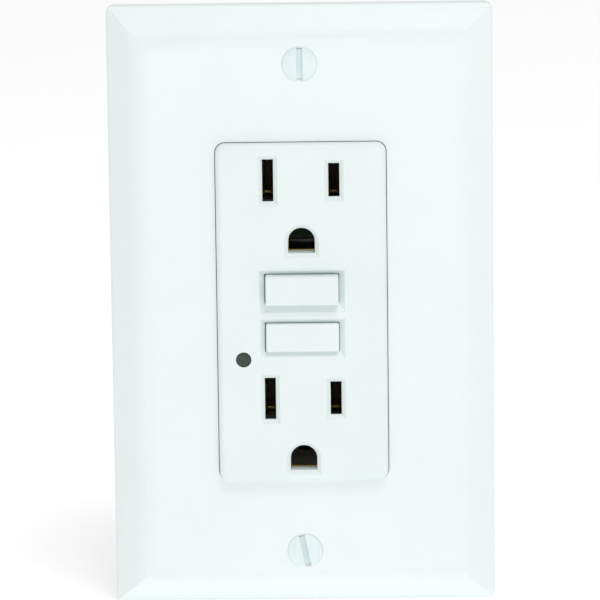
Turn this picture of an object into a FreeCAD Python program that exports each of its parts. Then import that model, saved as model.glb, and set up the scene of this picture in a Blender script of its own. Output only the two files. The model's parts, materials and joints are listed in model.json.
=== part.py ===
"""One-gang ground-fault wall outlet with its wall plate, as a parametric assembly.

Frame: +Z up, the face looks toward -Y, the body runs into the wall toward +Y. The origin is the middle
of the wall plane, where the plate's rear rim and the back of the mounting strap lie. Millimetres.
"""

import FreeCAD, Part

import math
import os
import re

import Sketcher
from FreeCAD import Placement, Rotation, Vector

os.makedirs("parts", exist_ok=True)
doc = FreeCAD.newDocument("gfci_outlet")

# Two coordinates nearer than this are the same, when edges are picked by where they lie.
TOUCH = 1e-4

# Driving dimensions. Depths are measured along Y from the wall plane: "front" values toward the room,
# which is -Y, and "back" values into the wall, which is +Y. A "half" is half a width or a height.
DIMENSIONS = {
    # how far a cutting tool reaches past the surface it opens
    "past": 1.0,
    # the thin gap between two pieces that lie against each other
    "seam": 0.05,
    # wall plate
    "plate_width": 74.6,
    "plate_height": 119.1,
    "plate_front": 5.6,
    "plate_skin": 2.0,
    "bevel_width": 6.3,
    "bevel_round": 9.0,
    "rim_height": 1.0,
    "rim_round": 1.1,
    "plate_corner": 1.7,
    "opening_gap": 0.15,
    "hollow_inset": 6.9,
    "rebate_inset": 2.7,
    "rebate_depth": 1.5,
    "plate_screw_rise": 48.42,
    "plate_hole": 1.95,
    "plate_seat": 3.5,
    "seat_depth": 1.75,
    # plate screws
    "oval_head": 3.4,
    "oval_shank": 1.7,
    "oval_crown": 11.8,
    "oval_rise": 0.5,
    "driver_slot": 1.15,
    "driver_depth": 1.1,
    # face cover
    "face_width": 33.0,
    "face_height": 67.0,
    "face_drop": 0.35,
    "face_front": 7.4,
    "face_skin": 2.8,
    "face_corner": 1.9,
    "face_round": 1.2,
    "cover_wall": 1.6,
    "flange_width": 42.0,
    "flange_height": 68.6,
    "flange_front": 2.85,
    "sleeve_wall": 1.2,
    # plug openings
    "upper_outlet": 25.9,
    "lower_outlet": -17.4,
    "slot_offset": 6.4,
    "slot_width": 2.15,
    "neutral_slot": 8.3,
    "hot_slot": 6.6,
    "ground_drop": 11.9,
    "ground_radius": 2.6,
    "ground_height": 5.0,
    "ground_lip": 2.6,
    "ground_lip_front": 3.7,
    "ground_lip_back": 2.65,
    "ground_lip_rise": 0.12,
    "ground_sheet": 0.45,
    "ground_clip_low": 3.75,
    "ground_clip_high": 3.4,
    "lead_in": 0.8,
    "lip": 0.4,
    "relief_top": 0.3,
    "relief_foot": 1.25,
    "relief_wall": 0.65,
    # buttons and indicator
    "button_width": 14.2,
    "button_gap": 0.08,
    "button_slack": 0.2,
    "button_flange": 0.9,
    "button_lip": 0.65,
    "hub_radius": 2.4,
    "reset_height": 4.8,
    "reset_middle": 4.4,
    "reset_tall": 5.75,
    "reset_front": 9.0,
    "test_height": -4.9,
    "test_middle": -5.2,
    "test_tall": 5.6,
    "test_front": 7.6,
    "pocket_half": 8.35,
    "pocket_depth": 1.1,
    "reset_pocket_low": -0.1,
    "reset_pocket_high": 8.2,
    "test_pocket_low": -9.5,
    "test_pocket_high": -1.35,
    "pocket_soft": 0.35,
    "cap_corner": 0.45,
    "cap_soft": 0.4,
    "stem_radius": 1.5,
    "lens_left": 11.5,
    "lens_drop": 9.45,
    "lens_radius": 1.45,
    "pipe_radius": 1.0,
    # mounting strap
    "strap": 1.2,
    "strap_width": 34.0,
    "strap_body": 35.6,
    "strap_end": 53.2,
    "tab_width": 19.5,
    "ear_radius": 5.2,
    "ear_offset": 14.2,
    "ear_rise": 46.9,
    "ear_hole": 1.9,
    "box_screw_rise": 41.65,
    "box_slot": 1.6,
    "machine_thread": 1.75,
    "machine_head": 3.4,
    "machine_head_height": 1.9,
    "box_screw_back": 24.0,
    "bond_front": 0.65,
    "bond_back": 1.05,
    "thread_front": 1.08,
    "foot_back": 9.4,
    "foot_drop": 42.0,
    "foot_half": 4.6,
    "foot_screw_axis": 4.9,
    "rivet_offset": 4.5,
    "rivet_radius": 0.8,
    # housing
    "case_width": 42.0,
    "case_height": 69.0,
    "case_back": 30.0,
    "case_wall": 1.4,
    "case_floor": 1.5,
    "frame_back": 12.8,
    "pocket_floor": 11.2,
    "well_half": 8.9,
    "well_low": -9.4,
    "well_high": 18.2,
    "case_screw_offset": 13.2,
    "case_screw_rise": 29.6,
    "case_screw": 1.0,
    "case_screw_front": 4.2,
    "case_screw_head": 2.1,
    # sheet-metal contacts
    "leaf": 0.5,
    "entry_gap": 2.2,
    "pinch_gap": 1.2,
    "blade_gap": 1.7,
    "pin_gap": 5.0,
    "leaf_front": 1.0,
    "leaf_pinch": 4.5,
    "leaf_back": 9.0,
    "clip_low": 4.7,
    "clip_high": 3.7,
    "bus_near": 13.2,
    "bus": 0.8,
    "bus_front": 2.2,
    "bus_back": 7.2,
    "line_bus_back": 27.7,
    "line_stem_near": 1.0,
    "line_stem_half": 1.5,
    # terminals
    "terminal_rise": 13.0,
    "terminal_near": 15.5,
    "terminal": 1.0,
    "terminal_half": 4.4,
    "terminal_front": 6.2,
    "terminal_back": 16.0,
    "terminal_axis": 10.5,
    "terminal_screw": 1.7,
    "terminal_head": 3.9,
    "terminal_head_height": 2.2,
    "terminal_tip": 12.9,
    "clamp_near": 16.6,
    "clamp": 1.0,
    "clamp_half": 4.1,
    "wire_near": 17.75,
    "wire_step": 2.3,
    "wire_radius": 1.2,
    # contacts that open and close
    "contact_offset": 6.6,
    "contact_rise": 1.6,
    "contact_radius": 1.4,
    "contact_height": 0.8,
    "tongue": 0.7,
    "arm_front": 10.3,
    "arm": 0.4,
    "arm_half": 1.5,
    "arm_root": 16.6,
    "post_half": 1.3,
    # trip mechanism
    "push_rise": 5.0,
    "pin_radius": 1.2,
    "pin_fit": 0.02,
    "neck_front": 12.75,
    "neck_length": 1.1,
    "latch_front": 15.2,
    "latch": 0.8,
    "latch_half": 2.4,
    "latch_throw": 0.9,
    "latch_tab_drop": 5.4,
    "coil_axis": 22.0,
    "plunger_radius": 1.6,
    "bobbin_low": -27.0,
    "bobbin_high": -9.0,
    "bobbin_radius": 5.6,
    "bobbin_tube": 2.5,
    "yoke_half": 6.2,
    "yoke_back": 28.3,
    "yoke": 1.08,
    # test switch
    "blade_front": 2.1,
    "blade": 0.35,
    "blade_half": 1.5,
    "test_post_left": 3.4,
    "test_post_front": 4.57,
    # circuit board and sensing coils
    "board_front": 14.5,
    "board": 1.6,
    "board_width": 29.4,
    "board_height": 65.0,
    "solder_gap": 0.02,
    "ring_rise": 20.5,
    "ring_inner": 4.9,
    "ring_outer": 7.2,
    "ring_wrap": 0.6,
    "ring_depth": 2.2,
    "sensor_front": 18.6,
    "neutral_front": 22.6,
    "cup_front": 16.15,
    "cup_depth": 10.4,
    "cup_wall": 1.0,
}

dims = doc.addObject("Spreadsheet::Sheet", "dims")
for row, (alias, number) in enumerate(DIMENSIONS.items(), start=1):
    dims.set(f"A{row}", alias)
    dims.set(f"B{row}", str(number))
    dims.setAlias(f"B{row}", alias)
doc.recompute()


def bind(item, path, value):
    """Tie one property to the sheet: every word in value is an alias of the sheet."""
    item.setExpression(path, re.sub(r"[a-z][a-z_]+", lambda word: "dims." + word.group(0), str(value)))


def size(alias):
    """The number in one cell of the sheet, for picking edges and for the few shapes that aren't bound."""
    return float(dims.get(alias))


def place(item, x, y, z, rotation=None):
    """Bind where a primitive stands, after turning it."""
    if rotation:
        item.Placement = Placement(Vector(0, 0, 0), rotation)
    for path, value in (("x", x), ("y", y), ("z", z)):
        bind(item, "Placement.Base." + path, value)


# ---- extents ------------------------------------------------------------------------------------

def about(centre, half):
    """An extent that reaches half to each side of a centre."""
    return (f"{centre} - ({half})", f"{centre} + ({half})")


def both(half):
    """An extent that reaches half to each side of the middle."""
    return (f"-({half})", f"{half}")


def side(sign, near, far):
    """An x extent given outward from the middle, on the right (+1) or the left (-1)."""
    return (near, far) if sign > 0 else (f"-({far})", f"-({near})")


def mirrored(sign, offset):
    """An x value on the right (+1) or the left (-1)."""
    return offset if sign > 0 else f"-({offset})"


def case_screw_places():
    """The x and z of the four housing screws."""
    return [(x, z) for x in both("case_screw_offset") for z in both("case_screw_rise")]


# ---- primitives ---------------------------------------------------------------------------------

def block(name, x, y, z):
    """A box between two values on each axis: x, y and z are each (low, high)."""
    item = doc.addObject("Part::Box", name)
    for path, (low, high) in (("Length", x), ("Width", y), ("Height", z)):
        bind(item, path, f"({high}) - ({low})")
    place(item, x[0], y[0], z[0])
    return item


AXES = {
    "x": Rotation(Vector(0, 1, 0), 90),
    "y": Rotation(Vector(1, 0, 0), -90),
    "-y": Rotation(Vector(1, 0, 0), 90),
    "z": Rotation(),
}


def rod(name, axis, radius, x, y, z, length):
    """A cylinder that starts at x, y, z and runs up its axis."""
    item = doc.addObject("Part::Cylinder", name)
    bind(item, "Radius", radius)
    bind(item, "Height", length)
    place(item, x, y, z, AXES[axis])
    return item


def cone(name, axis, start_radius, end_radius, x, y, z, length):
    """A cone that starts at x, y, z and runs up its axis."""
    item = doc.addObject("Part::Cone", name)
    bind(item, "Radius1", start_radius)
    bind(item, "Radius2", end_radius)
    bind(item, "Height", length)
    place(item, x, y, z, AXES[axis])
    return item


def stud(name, radius, x, z, front, back):
    """A cylinder along Y between two depths."""
    return rod(name, "y", radius, x, front, z, f"{back} - ({front})")


def drill(name, radius, x, z, front, back):
    """A tool for a round hole along Y that reaches past both depths."""
    return stud(name, radius, x, z, f"{front} - past", f"{back} + past")


def cross_drill(name, radius, sign, near, far, y, z):
    """A tool for a round hole along X, given outward from the middle, that reaches past both ends."""
    low, high = side(sign, f"{near} - past", f"{far} + past")
    return rod(name, "x", radius, low, y, z, f"{high} - ({low})")


def taper(name, y, x_front, z_front, x_back, z_back):
    """A tapered box between two depths, with its own x and z extent at each."""
    item = doc.addObject("Part::Wedge", name)
    for path, value in (
        ("Ymin", y[0]), ("Ymax", y[1]),
        ("Xmin", x_front[0]), ("Xmax", x_front[1]), ("Zmin", z_front[0]), ("Zmax", z_front[1]),
        ("X2min", x_back[0]), ("X2max", x_back[1]), ("Z2min", z_back[0]), ("Z2max", z_back[1]),
    ):
        bind(item, path, value)
    return item


def fuse(name, *items):
    """One solid out of pieces that touch; a single item is passed through."""
    if len(items) == 1:
        return items[0]
    joined = doc.addObject("Part::MultiFuse", name)
    joined.Shapes = list(items)
    joined.Refine = True
    return joined


def cut(name, base, *tools):
    """The base with every tool taken out of it."""
    result = doc.addObject("Part::Cut", name)
    result.Base = base
    result.Tool = fuse(name + "_tools", *tools)
    result.Refine = True
    return result


def group(name, *items):
    """Separate solids that share one node."""
    together = doc.addObject("Part::Compound", name)
    together.Links = list(items)
    return together


def rounded(name, base, radius, chosen):
    """Round the edges of base that chosen(edge) accepts."""
    doc.recompute()
    result = doc.addObject("Part::Fillet", name)
    result.Base = base
    numbers = [n for n, edge in enumerate(base.Shape.Edges, start=1) if chosen(edge)]
    result.Edges = [(n, radius, radius) for n in numbers]
    return result


def lies_on(axis, value):
    """Whether an edge lies wholly in the plane where axis equals value."""
    return lambda edge: all(abs(getattr(vertex.Point, axis) - value) < TOUCH for vertex in edge.Vertexes)


def every_edge(edge):
    """Accept all edges."""
    return True


# ---- sketches for PartDesign bodies -------------------------------------------------------------

def sketch_on(body, role, name, offset=0):
    """A sketch on one of the body's own origin planes, moved along the plane's normal."""
    sketch = body.newObject("Sketcher::SketchObject", name)
    plane = next(feature for feature in body.Origin.OriginFeatures if feature.Role == role)
    sketch.AttachmentSupport = [(plane, "")]
    sketch.MapMode = "FlatFace"
    bind(sketch, "AttachmentOffset.Base.z", offset)
    return sketch


def locate(sketch, shape, point, across, up):
    """Bind one point of a sketch's shape to its distances from the origin."""
    for kind, value in (("DistanceX", across), ("DistanceY", up)):
        added = sketch.addConstraint(Sketcher.Constraint(kind, -1, 1, shape, point, 1.0))
        bind(sketch, f"Constraints[{added}]", value)


def outline(sketch, points):
    """A closed polygon through (across, up) pairs, each coordinate bound to the sheet."""
    first = sketch.GeometryCount
    count = len(points)
    start = [Vector(math.cos(math.tau * n / count), math.sin(math.tau * n / count), 0) for n in range(count)]
    for n in range(count):
        sketch.addGeometry(Part.LineSegment(start[n], start[(n + 1) % count]))
    for n in range(count):
        following = first + (n + 1) % count
        sketch.addConstraint(Sketcher.Constraint("Coincident", first + n, 2, following, 1))
    for n, (across, up) in enumerate(points):
        locate(sketch, first + n, 1, across, up)


def disc(sketch, across, up, radius):
    """A circle whose centre and radius are bound to the sheet."""
    circle = sketch.addGeometry(Part.Circle(Vector(0, 0, 0), Vector(0, 0, 1), 1.0))
    locate(sketch, circle, 3, across, up)
    added = sketch.addConstraint(Sketcher.Constraint("Radius", circle, 1.0))
    bind(sketch, f"Constraints[{added}]", radius)


def rectangle(sketch, across, up):
    """A rectangle between two values each way: across and up are each (low, high)."""
    outline(sketch, [(across[0], up[0]), (across[1], up[0]), (across[1], up[1]), (across[0], up[1])])


def pad(body, sketch, name, length, reverse=False, both_ways=False):
    """Extrude a sketch along its plane's normal; a sketch on XZ grows toward the room, which is -Y."""
    feature = body.newObject("PartDesign::Pad", name)
    feature.Profile = sketch
    feature.Reversed = reverse
    feature.Midplane = both_ways
    bind(feature, "Length", length)
    return feature


def round_pad(body, base, name, radius, chosen):
    """Round the edges of a body's last feature that chosen(edge) accepts."""
    doc.recompute()
    edges = [f"Edge{n}" for n, edge in enumerate(base.Shape.Edges, start=1) if chosen(edge)]
    feature = body.newObject("PartDesign::Fillet", name)
    feature.Base = (base, edges)
    bind(feature, "Radius", radius)
    return feature


def runs_along(axis):
    """Whether an edge is straight and parallel to an axis."""
    def test(edge):
        ends = [vertex.Point for vertex in edge.Vertexes]
        if len(ends) != 2:
            return False
        others = [name for name in "xyz" if name != axis]
        return all(abs(getattr(ends[0], name) - getattr(ends[1], name)) < TOUCH for name in others)
    return test


def rounded_slab(name, half_across, half_up, start, length, corner, reverse=False, middle="0"):
    """A body padded from a rectangle parallel to the wall, with its four corners rounded.

    It starts at a height toward the room and grows toward the room, or toward the wall if reversed; middle is
    the height of its centre above the origin. Returns the body and its last feature.
    """
    body = doc.addObject("PartDesign::Body", name)
    sketch = sketch_on(body, "XZ_Plane", name + "_sketch", start)
    rectangle(sketch, both(half_across), about(middle, half_up))
    slab = pad(body, sketch, name + "_pad", length, reverse)
    return body, round_pad(body, slab, name + "_corners", corner, runs_along("y"))


NODES = {}


def node(name, item):
    """Name a finished sub-part: its label is its node and its file."""
    item.Label = name
    NODES[name] = item


# ---- wall plate ---------------------------------------------------------------------------------

def bevelled_bar(name, role, half, length):
    """A bar with the plate's soft bevel along both sides.

    On the XY plane it stands upright and half is its half width; on the YZ plane it lies crosswise and half
    is its half height.
    """
    upright = role == "XY_Plane"
    along, across = ("z", "x") if upright else ("x", "z")
    crest = f"{half} - bevel_width"
    section = [
        (f"-({half})", "0"), (half, "0"), (half, "-rim_height"),
        (crest, "-plate_front"), (f"-({crest})", "-plate_front"), (f"-({half})", "-rim_height"),
    ]
    body = doc.addObject("PartDesign::Body", name)
    sketch = sketch_on(body, role, name + "_sketch")
    outline(sketch, section if upright else [(depth, over) for over, depth in section])
    bar = pad(body, sketch, name + "_pad", length, both_ways=True)
    crest_offset = size("plate_width" if upright else "plate_height") / 2 - size("bevel_width")

    def at_crest(edge):
        start = edge.Vertexes[0].Point
        return runs_along(along)(edge) and abs(abs(getattr(start, across)) - crest_offset) < TOUCH

    def at_rim(edge):
        return runs_along(along)(edge) and abs(edge.Vertexes[0].Point.y + size("rim_height")) < TOUCH

    soft = round_pad(body, bar, name + "_crest", "bevel_round", at_crest)
    round_pad(body, soft, name + "_rim", "rim_round", at_rim)
    return body


def wall_plate():
    """The white plate: a pillowed rectangle, hollow behind, with a window for the device."""
    upright = bevelled_bar("plate_upright", "XY_Plane", "plate_width / 2", "plate_height + 2 * past")
    crosswise = bevelled_bar("plate_crosswise", "YZ_Plane", "plate_height / 2", "plate_width + 2 * past")
    plan = rounded_slab("plate_plan", "plate_width / 2", "plate_height / 2", 0, "plate_front + past",
                        "plate_corner")[0]
    blank = doc.addObject("Part::MultiCommon", "plate_blank")
    blank.Shapes = [upright, crosswise, plan]

    opening = rounded_slab("plate_opening", "face_width / 2 + opening_gap", "face_height / 2 + opening_gap",
                           "-past", "plate_front + 2 * past", "face_corner + opening_gap",
                           middle="-face_drop")[0]
    hollow = block("plate_hollow", both("plate_width / 2 - hollow_inset"), ("-(plate_front - plate_skin)", "past"),
                   both("plate_height / 2 - hollow_inset"))
    rebate = block("plate_rebate", both("plate_width / 2 - rebate_inset"), ("-rebate_depth", "past"),
                   both("plate_height / 2 - rebate_inset"))
    tools = [opening, hollow, rebate]
    for rise in both("plate_screw_rise"):
        tools.append(drill("plate_hole", "plate_hole", "0", rise, "-plate_front", "0"))
        tools.append(cone("plate_seat", "y", "plate_seat", "plate_hole", "0", "-plate_front", rise, "seat_depth"))
    node("wall_plate", cut("plate_shell", blank, *tools))


def driver_slot(name, rise, turn):
    """The tool for a screwdriver slot across an oval head, turned by an angle."""
    slot = doc.addObject("Part::Box", name)
    bind(slot, "Length", "driver_slot")
    bind(slot, "Width", "driver_depth")
    bind(slot, "Height", "2 * (oval_head + past)")
    slot.Placement = Placement(Vector(0, 0, 0), Rotation(Vector(0, 1, 0), turn))
    corner = Vector(-size("driver_slot") / 2, 0, -size("oval_head") - size("past"))
    turned = slot.Placement.Rotation.multVec(corner)
    bind(slot, "Placement.Base.x", round(turned.x, 4))
    bind(slot, "Placement.Base.y", "-plate_front - oval_rise - 0.1")
    bind(slot, "Placement.Base.z", f"{rise} + {round(turned.z, 4)}")
    return slot


def plate_screws():
    """Two oval-head screws that hold the plate to the strap, left turned a little differently."""
    screws = []
    for end, rise, turn in (("upper", "plate_screw_rise", 0), ("lower", "-plate_screw_rise", -12)):
        sink = cone(f"{end}_sink", "y", "oval_head", "oval_shank", "0", "-plate_front + pin_fit", rise, "oval_shank")
        dome = doc.addObject("Part::Sphere", f"{end}_dome")
        bind(dome, "Radius", "oval_crown")
        place(dome, "0", "-plate_front - oval_rise + oval_crown", rise)
        limit = stud(f"{end}_limit", "oval_head", "0", rise, "-plate_front - past", "-plate_front + pin_fit")
        cap = doc.addObject("Part::MultiCommon", f"{end}_cap")
        cap.Shapes = [dome, limit]
        shank = stud(f"{end}_shank", "oval_shank", "0", rise, "-plate_front + past", "6.0")
        whole = fuse(f"{end}_oval", cap, sink, shank)
        screws.append(cut(f"{end}_plate_screw", whole, driver_slot(f"{end}_slot", rise, turn)))
    node("plate_screws", group("plate_screw_pair", *screws))


# ---- face cover, buttons and indicator ----------------------------------------------------------

def slot_tools(name, sign, z, height):
    """The opening for one flat blade: a lead-in all round, a short straight lip, and more room behind it."""
    x = side(sign, "slot_offset - slot_width / 2", "slot_offset + slot_width / 2")
    low, high = about(z, f"{height} / 2")
    straight = block(name, x, ("-face_front - past", "0"), (low, high))
    mouth = taper(
        name + "_mouth", ("-face_front", "-face_front + lead_in"),
        (f"{x[0]} - lead_in", f"{x[1]} + lead_in"), (f"{low} - lead_in", f"{high} + lead_in"),
        x, (low, high),
    )
    relief = block(name + "_relief", x, ("-face_front + lead_in + lip", "0"),
                   (f"{low} - relief_foot", f"{high} + relief_top"))
    return [straight, mouth, relief]


def ground_tools(name, z):
    """The opening for a round ground pin: an arch with a flat foot, a lead-in and room for the contact's lip."""
    foot = f"{z} - ground_height / 2"
    centre = f"{z} + ground_height / 2 - ground_radius"
    arch = rod(name + "_arch", "-y", "ground_radius", "0", "0", centre, "face_front + past")
    base = block(name + "_foot", both("ground_radius"), ("-face_front - past", "0"), (foot, centre))
    arch_mouth = cone(name + "_arch_mouth", "-y", "ground_radius", "ground_radius + lead_in", "0",
                      "-face_front + lead_in", centre, "lead_in")
    for curved in (arch, arch_mouth):
        # Only the upper half is round.
        curved.Angle = 180
    foot_mouth = taper(
        name + "_foot_mouth", ("-face_front", "-face_front + lead_in"),
        both("ground_radius + lead_in"), (f"{foot} - lead_in", centre), both("ground_radius"), (foot, centre),
    )
    relief = block(name + "_relief", both("ground_radius + 3 * seam"), ("-face_front + lead_in + ground_lip", "0"),
                   (f"{foot} - relief_foot - 0.4", centre))
    return [arch, base, arch_mouth, foot_mouth, relief]


def button_pocket(name):
    """The sunk well round a button: sloped walls down to a close-fitting guide hole."""
    low, high = f"{name}_pocket_low", f"{name}_pocket_high"
    across = ("-button_width / 2 - button_slack", "button_width / 2 + button_gap")
    guide = about(f"{name}_middle", f"{name}_tall / 2 + button_gap")
    well = taper(
        name + "_well", ("-face_front", "-face_front + pocket_depth"), both("pocket_half"), (low, high), across, guide,
    )
    hole = block(name + "_guide", across, ("-face_front - past", "0"), guide)
    return [well, hole]


def face_cover():
    """The white front: a shallow box with a flange that lies on the strap."""
    back = "-(strap + seam)"
    shell, corners = rounded_slab("cover_shell", "face_width / 2", "face_height / 2", "strap + seam",
                                  "face_front - strap - seam", "face_corner", middle="-face_drop")
    round_pad(shell, corners, "cover_edge", "face_round", lies_on("y", -size("face_front")))
    flange = block("cover_flange", both("flange_width / 2"), ("-flange_front", back), both("flange_height / 2"))
    hollow = block("cover_hollow", both("face_width / 2 - cover_wall"), ("-face_front + face_skin", "0"),
                   about("-face_drop", "face_height / 2 - cover_wall"))
    hollowed = cut("cover_hollowed", fuse("cover_blank", shell, flange), hollow)

    # Every opening has a sleeve behind it that starts inside the skin.
    start = "-face_front + face_skin - 0.5"
    sleeves, openings = [], []
    for outlet in ("upper", "lower"):
        z = f"{outlet}_outlet"
        for name, sign, height in (("neutral", -1, "neutral_slot"), ("hot", 1, "hot_slot")):
            x = side(sign, "slot_offset - slot_width / 2 - sleeve_wall", "slot_offset + slot_width / 2 + sleeve_wall")
            rise = (f"{z} - {height} / 2 - relief_foot - relief_wall", f"{z} + {height} / 2 + sleeve_wall")
            sleeves.append(block(f"{outlet}_{name}_sleeve", x, (start, back), rise))
            openings += slot_tools(f"{outlet}_{name}_slot", sign, z, height)
        ground = f"{z} - ground_drop"
        sleeves.append(stud(f"{outlet}_ground_sleeve", "ground_radius + 1.3", "0", ground, start, "-2.4"))
        openings += ground_tools(f"{outlet}_ground", ground)
    for x, z in case_screw_places():
        sleeves.append(stud("cover_post", "2.3", x, z, start, back))
        openings.append(stud("cover_pilot", "case_screw + seam", x, z, "-case_screw_front - 0.2", "0"))
    sleeves.append(stud("lens_sleeve", "lens_radius + sleeve_wall", "-lens_left", "-lens_drop", start, "-2.9"))
    openings.append(drill("lens_hole", "lens_radius + seam", "-lens_left", "-lens_drop", "-face_front", "-strap"))
    openings += button_pocket("reset") + button_pocket("test")
    pierced = cut("cover_open", fuse("cover_full", hollowed, *sleeves), *openings)

    front = -size("face_front")
    across, up = size("pocket_half") + TOUCH, size("reset_pocket_high") + TOUCH
    down = size("test_pocket_low") - TOUCH

    def round_pocket(edge):
        points = [vertex.Point for vertex in edge.Vertexes]
        return lies_on("y", front)(edge) and all(abs(p.x) < across and down < p.z < up for p in points)

    node("face_cover", rounded("cover_soft", pierced, size("pocket_soft"), round_pocket))


def button(name, hub_back):
    """A push button: a cap with soft edges, a stop flange, and a hub behind in line with the mechanism."""
    middle, front = f"{name}_middle", f"{name}_front"
    cap = block(name + "_cap", both("button_width / 2"), (f"-{front}", "-4.4"), about(middle, f"{name}_tall / 2"))
    upright = rounded(name + "_corners", cap, size("cap_corner"), runs_along("y"))
    soft = rounded(name + "_soft", upright, size("cap_soft"), lies_on("y", -size(front)))
    flange = block(name + "_flange", both("button_width / 2 + button_flange"), ("-4.5", "-3.7"),
                   about(middle, f"{name}_tall / 2 + button_lip"))
    hub = stud(name + "_hub", "hub_radius", "0", f"{name}_height", "-4.0", hub_back)
    return fuse(name + "_body", soft, flange, hub)


def reset_button():
    """The reset button, bored from behind for its pin."""
    socket = stud("reset_socket", "pin_radius", "0", "reset_height", "-6.0", "-1.0")
    node("reset_button", cut("reset_button_bored", button("reset", "-2.6"), socket))


def test_button():
    """The test button, with a stem that reaches the spring leaf."""
    stem = stud("test_stem", "stem_radius", "0", "test_height", "-3.0", "1.0")
    tip = cone("test_tip", "y", "stem_radius", 0.4, "0", "1.0", "test_height", "0.95")
    node("test_button", fuse("test_button_whole", button("test", "-2.8"), stem, tip))


def indicator_lens():
    """The round window of the indicator, with the light pipe behind it."""
    front = "-face_front + seam"
    head = stud("lens_head", "lens_radius", "-lens_left", "-lens_drop", front, f"{front} + 3.0")
    soft = rounded("lens_soft", head, 0.25, lies_on("y", -size("face_front") + size("seam")))
    pipe = stud("lens_pipe", "pipe_radius", "-lens_left", "-lens_drop", f"{front} + 1.95", "frame_back - 0.6")
    node("indicator_lens", fuse("lens_whole", soft, pipe))


# ---- mounting strap and grounding ---------------------------------------------------------------

def mounting_strap():
    """The pressed steel strap: a wide middle, a tab at each end with two round ears, and a wiring foot."""
    sheet = ("-strap", "0")
    through = ("-strap - past", "past")
    parts = [
        block("strap_middle", both("strap_width / 2"), sheet, both("strap_body")),
        block("strap_ends", both("tab_width / 2"), sheet, both("strap_end")),
        block("strap_foot", ("-tab_width / 2", "-tab_width / 2 + 1"), ("-strap", "foot_back"),
              about("-foot_drop", "foot_half")),
    ]
    holes = [rod("foot_thread", "x", "machine_thread", "-tab_width / 2 - 1", "foot_screw_axis", "-foot_drop", "3")]
    for end in ("", "-"):
        for across in ("", "-"):
            parts.append(stud("strap_ear", "ear_radius", f"{across}ear_offset", f"{end}ear_rise", *sheet))
            holes.append(drill("strap_ear_hole", "ear_hole", f"{across}(ear_offset + 0.4)", f"{end}ear_rise", *sheet))
        rise = f"{end}box_screw_rise"
        holes.append(block("box_slot", both("box_slot"), through, about(rise, "ear_hole")))
        holes += [drill("box_slot_end", "ear_hole", x, rise, *sheet) for x in both("box_slot")]
        holes.append(drill("plate_thread", "machine_thread", "0", f"{end}plate_screw_rise", *sheet))
    for z in ("upper_outlet", "lower_outlet"):
        holes.append(block("blade_window", both("9"), through, (f"{z} - 5.6", f"{z} + 5.1")))
        ground = f"{z} - ground_drop"
        holes.append(block("pin_window", both("3.0"), through, (f"{ground} - 4.3", f"{ground} + 3.0")))
        holes += [drill("rivet_hole", "rivet_radius + seam", x, ground, *sheet) for x in both("rivet_offset")]
    holes.append(block("button_window", both("8.3"), through, both("9.2")))
    holes.append(drill("lens_window", "lens_radius + 0.2", "-lens_left", "-lens_drop", *sheet))
    holes += [drill("case_screw_pass", "case_screw + 0.3", x, z, *sheet) for x, z in case_screw_places()]
    node("mounting_strap", cut("strap_pierced", fuse("strap_blank", *parts), *holes))


def pan_screw(name, z):
    """A pan-head machine screw that runs from the strap into the wall box."""
    front = "-strap - seam - machine_head_height"
    head = stud(name + "_head", "machine_head", "0", z, front, "-strap - seam")
    crown = -size("strap") - size("seam") - size("machine_head_height")
    soft = rounded(name + "_soft", head, 0.8, lies_on("y", crown))
    neck = stud(name + "_neck", "machine_thread - 0.3", "0", z, "-strap - 0.5", "thread_front + 0.1")
    thread = stud(name + "_thread", "machine_thread", "0", z, "thread_front", "box_screw_back")
    slot = block(name + "_slot", both("machine_head + 0.6"), (f"{front} - 0.55", f"{front} + 1.0"), about(z, "0.5"))
    return cut(name, fuse(name + "_whole", soft, neck, thread), slot)


def box_screws():
    """The two screws that hold the device to its wall box."""
    pair = [pan_screw("upper_box_screw", "box_screw_rise"), pan_screw("lower_box_screw", "-box_screw_rise")]
    node("box_screws", group("box_screw_pair", *pair))


def screw_retainers():
    """Square washers behind the strap that keep the box screws from falling out."""
    washers = []
    for z in both("box_screw_rise"):
        plate = block("retainer_plate", both("4"), ("pin_fit", "0.6"), about(z, "3.6"))
        hole = drill("retainer_hole", "machine_thread + 0.04", "0", z, "0", "0.6")
        washers.append(cut("retainer", plate, hole))
    node("screw_retainers", group("retainer_pair", *washers))


def grounding_clip():
    """A springy brass leaf on the upper box screw that bonds the strap to a metal box."""
    plate = block("clip_plate", both("4.2"), ("bond_front", "bond_back"), about("box_screw_rise", "4"))
    wing = block("clip_wing", ("-4.2", "-3.8"), ("bond_front", "4.2"), about("box_screw_rise", "2.5"))
    hole = drill("clip_hole", "machine_thread + 0.04", "0", "box_screw_rise", "bond_front", "bond_back")
    node("grounding_clip", cut("clip_bored", fuse("clip_blank", plate, wing), hole))


def ground_screw():
    """The hex-head ground terminal screw in the strap's foot, pointing across the device."""
    outer = "-tab_width / 2 - 3.45"
    height = "2.3"
    head = doc.addObject("Part::Prism", "ground_hex")
    head.Polygon = 6
    bind(head, "Circumradius", 4.3)
    bind(head, "Height", height)
    place(head, outer, "foot_screw_axis", "-foot_drop", AXES["x"])
    slot = block("ground_slot", (f"{outer} - past", f"{outer} + 0.9"), ("0", "10"), about("-foot_drop", "0.6"))
    shank = rod("ground_shank", "x", "machine_thread - seam", f"{outer} + {height} - 0.6", "foot_screw_axis",
                "-foot_drop", "7")
    node("ground_screw", cut("ground_slotted", fuse("ground_bolt", head, shank), slot))


def ground_clamp():
    """The square washer under the ground screw's head."""
    foot = "tab_width / 2"
    plate = block("ground_washer", side(-1, f"{foot} + seam", f"{foot} + 1.1"), about("foot_screw_axis", "3.9"),
                  about("-foot_drop", "3.9"))
    hole = cross_drill("ground_washer_hole", "machine_thread + 0.1", -1, foot, f"{foot} + 1.1", "foot_screw_axis",
                       "-foot_drop")
    node("ground_clamp", cut("ground_washer_bored", plate, hole))


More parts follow.
